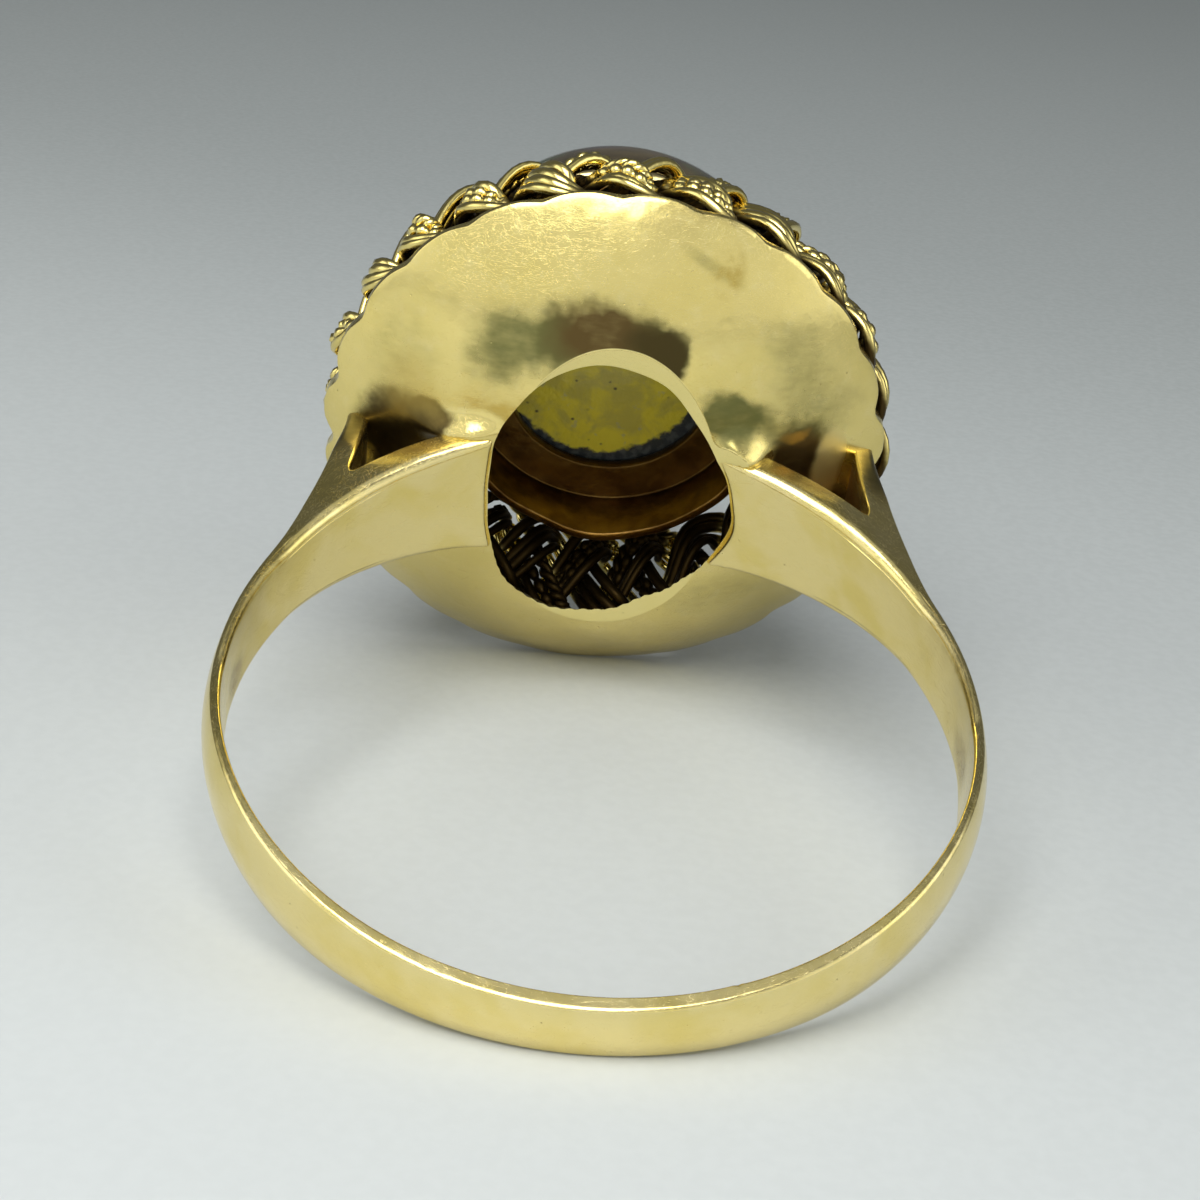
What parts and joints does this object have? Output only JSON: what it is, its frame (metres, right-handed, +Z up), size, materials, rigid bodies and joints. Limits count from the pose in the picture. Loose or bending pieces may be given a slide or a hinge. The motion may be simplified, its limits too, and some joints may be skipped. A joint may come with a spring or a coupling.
{
  "type": "finger ring",
  "caption": "Gold finger ring with forked shoulders, a fluted cup and a high black cabochon in a collet inside a plaited wire wreath, lying on its side.",
  "frame": {"origin": "centre of the finger hole, on its axis, halfway across the band", "axes": "+Z up, with the ring lying on its side on two lobes of the head's rim and the lower edge of the back of the band; +Y from the finger hole towards the head, 19.6 degrees below the axis of the head; X across the ring, along its level width"},
  "size_m": [0.0182, 0.0298, 0.0152],
  "materials": {
    "gold": "worn, finely scratched yellow gold with brown stains",
    "collet_gold": "dull brown tarnished gold",
    "opal": "polished black opal; glass-like stone, opaque"
  },
  "bodies": {
    "root": {"ring_mount": "gold", "collet": "collet_gold", "opal": "opal", "braid_strand_1": "gold", "braid_strand_2": "gold", "braid_strand_3": "gold"}
  },
  "joints": []
}
